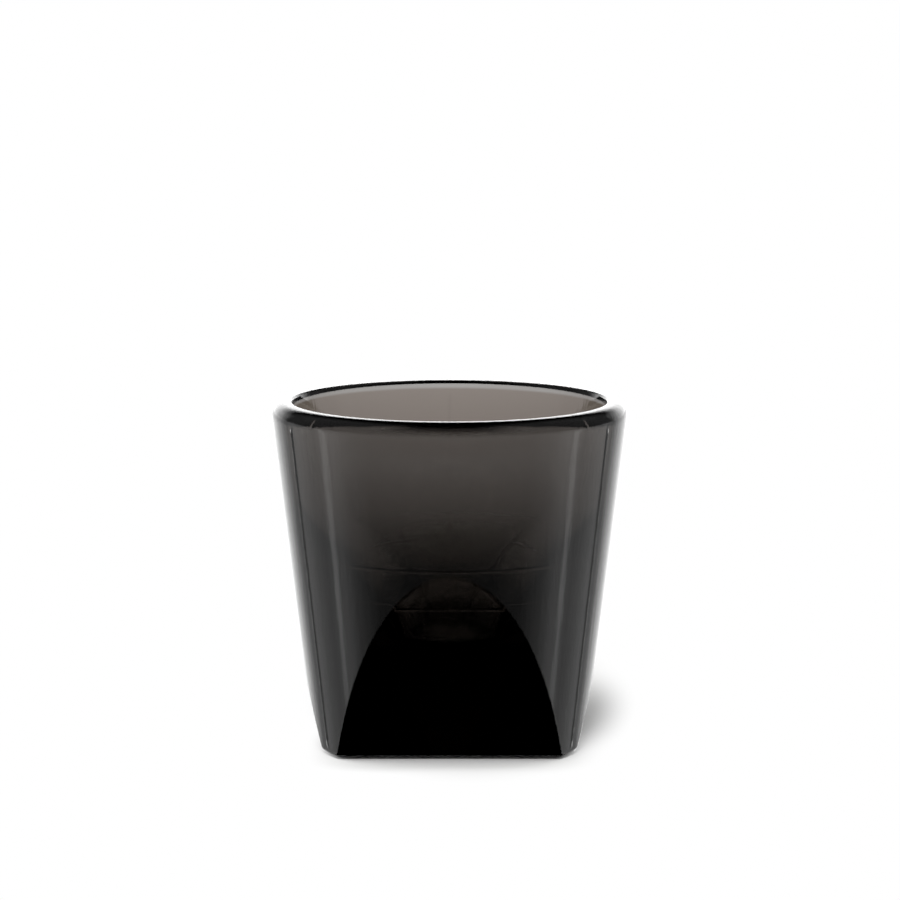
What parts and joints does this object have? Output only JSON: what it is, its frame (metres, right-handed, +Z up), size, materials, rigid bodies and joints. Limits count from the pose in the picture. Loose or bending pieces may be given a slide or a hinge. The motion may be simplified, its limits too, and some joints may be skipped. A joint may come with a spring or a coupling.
{
  "type": "espresso cup",
  "caption": "Handleless thick-glass espresso cup: round tapered wall with a rounded lip, flat panels leaning in to a solid heavy foot, and a smooth deep cavity that narrows to a rounded floor.",
  "frame": {"origin": "middle of the flat resting face under the foot", "axes": "+Z up along the axis of the round wall; -Y towards the panel that faces the viewer"},
  "size_m": [0.0692, 0.0692, 0.0676],
  "materials": {
    "smoke_glass": "clear polished, tinted smoke grey through its thickness"
  },
  "bodies": {
    "root": {"glass_cup": "smoke_glass"}
  },
  "joints": []
}
